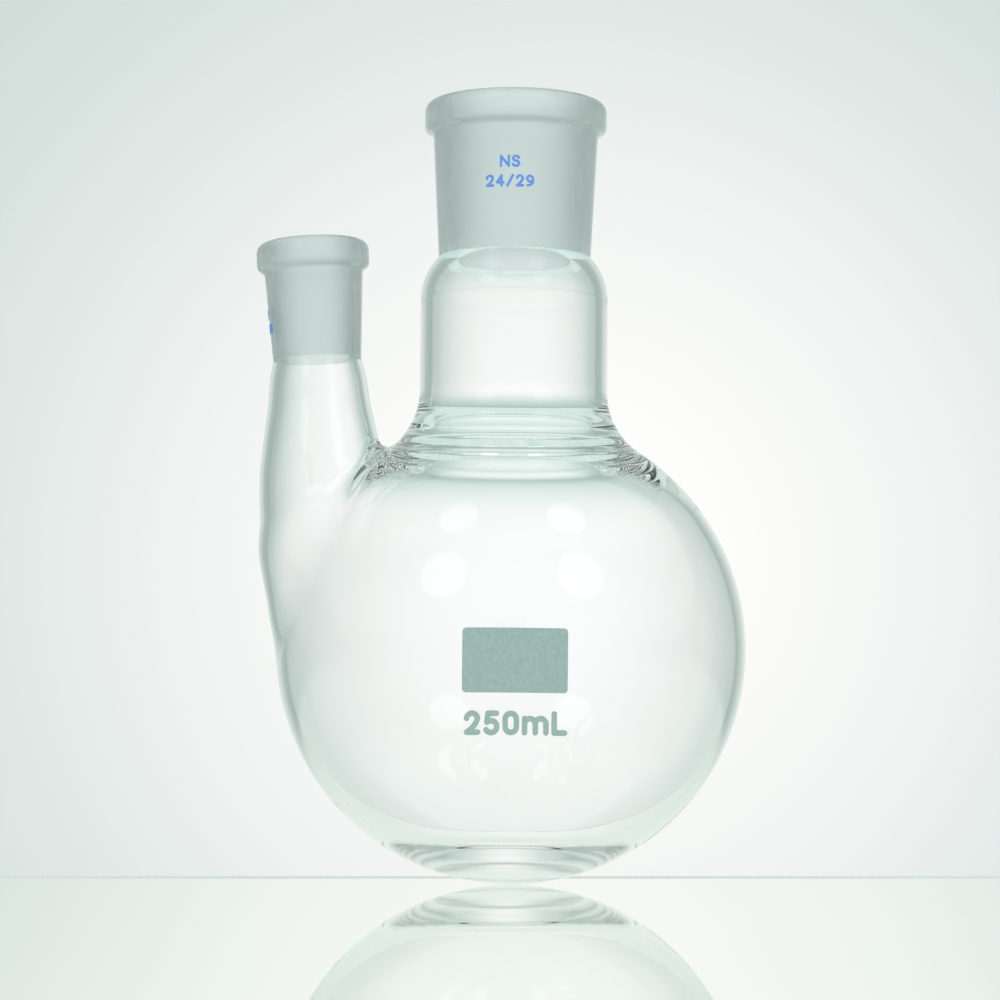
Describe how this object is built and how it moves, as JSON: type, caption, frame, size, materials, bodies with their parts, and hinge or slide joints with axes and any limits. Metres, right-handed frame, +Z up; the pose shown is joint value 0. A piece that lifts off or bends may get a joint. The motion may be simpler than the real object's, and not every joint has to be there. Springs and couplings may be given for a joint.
{
  "type": "two-neck round-bottom flask",
  "caption": "Clear glass round-bottom flask with a ground-joint centre neck and a smaller ground-joint side neck, for mixing and boiling liquids.",
  "frame": {"origin": "lowest point of the bulb, on the axis of the centre neck", "axes": "+Z up along the centre neck, -X towards the side neck, -Y out of the enamel marks on the bulb"},
  "size_m": [0.0897, 0.0851, 0.1428],
  "materials": {
    "clear_glass": "clear fire-polished borosilicate glass, faintly green where thick",
    "socket_glass": "clear borosilicate glass with a finely ground inner cone",
    "grey_enamel": "thin fired grey-green enamel",
    "blue_enamel": "thin fired light blue enamel"
  },
  "bodies": {
    "root": {"flask_body": "clear_glass", "side_neck": "clear_glass", "centre_socket": "socket_glass", "side_socket": "socket_glass", "marking_field": "grey_enamel", "capacity_print": "grey_enamel", "centre_size_print": "blue_enamel", "side_size_print": "blue_enamel"}
  },
  "joints": []
}
